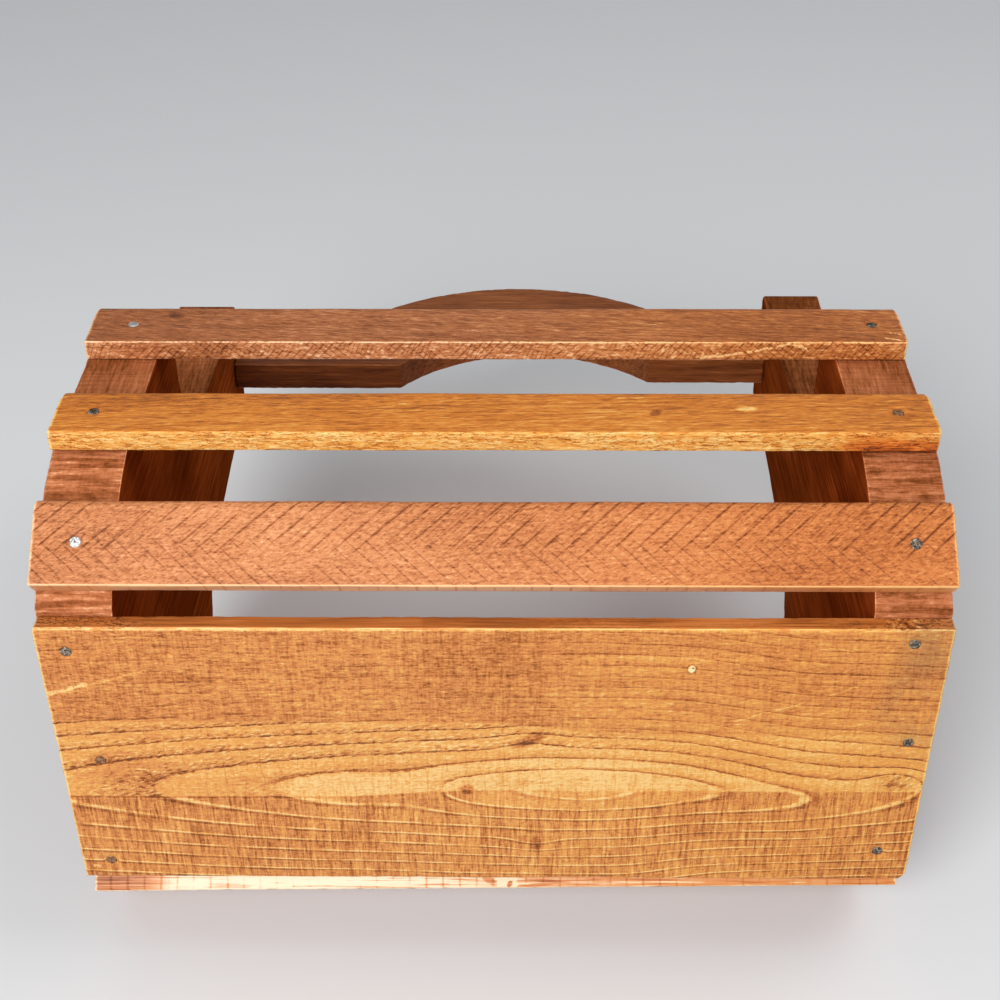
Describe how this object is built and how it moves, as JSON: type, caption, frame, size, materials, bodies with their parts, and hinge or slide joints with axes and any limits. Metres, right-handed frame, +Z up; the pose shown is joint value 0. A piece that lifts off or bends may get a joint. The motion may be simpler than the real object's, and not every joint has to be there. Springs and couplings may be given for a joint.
{
  "type": "wooden slat basket",
  "caption": "Open wooden slat basket with thick barrel-shaped end boards, a flat bottom board, nailed side slats and an arched carrying handle between two arms.",
  "frame": {"origin": "middle of the bottom board's underside, on the surface that the basket stands on", "axes": "+Z up to the handle; +X along the slats, towards the right end board; the front slats face -Y"},
  "size_m": [0.432, 0.2926, 0.467],
  "materials": {
    "bottom_wood": "orange-brown stain under satin varnish, rough-sawn grain",
    "end_wood": "dark red-brown stain under satin varnish",
    "handle_wood": "orange-brown stain under satin varnish, rough-sawn grain",
    "corner_slat_wood": "orange-brown stain under satin varnish, rough-sawn grain",
    "middle_slat_wood": "orange-brown stain under satin varnish, rough-sawn grain",
    "upper_slat_wood": "orange-brown stain under satin varnish, rough-sawn grain",
    "nail_steel": "dull steel, worn bright on the head"
  },
  "bodies": {
    "root": {"bottom_board": "bottom_wood", "end_board_left": "end_wood", "end_board_right": "end_wood", "handle_board": "handle_wood", "front_corner_slat": "corner_slat_wood", "front_middle_slat": "middle_slat_wood", "front_upper_slat": "upper_slat_wood", "back_corner_slat": "corner_slat_wood", "back_middle_slat": "middle_slat_wood", "back_upper_slat": "upper_slat_wood", "nail_front_corner_left": "nail_steel", "nail_front_corner_right": "nail_steel", "nail_front_middle_left": "nail_steel", "nail_front_middle_right": "nail_steel", "nail_front_upper_left": "nail_steel", "nail_front_upper_right": "nail_steel", "nail_back_corner_left": "nail_steel", "nail_back_corner_right": "nail_steel", "nail_back_middle_left": "nail_steel", "nail_back_middle_right": "nail_steel", "nail_back_upper_left": "nail_steel", "nail_back_upper_right": "nail_steel", "nail_bottom_left_1": "nail_steel", "nail_bottom_left_2": "nail_steel", "nail_bottom_left_3": "nail_steel", "nail_bottom_right_1": "nail_steel", "nail_bottom_right_2": "nail_steel", "nail_bottom_right_3": "nail_steel", "nail_handle_left_1": "nail_steel", "nail_handle_left_2": "nail_steel", "nail_handle_right_1": "nail_steel", "nail_handle_right_2": "nail_steel"}
  },
  "joints": []
}
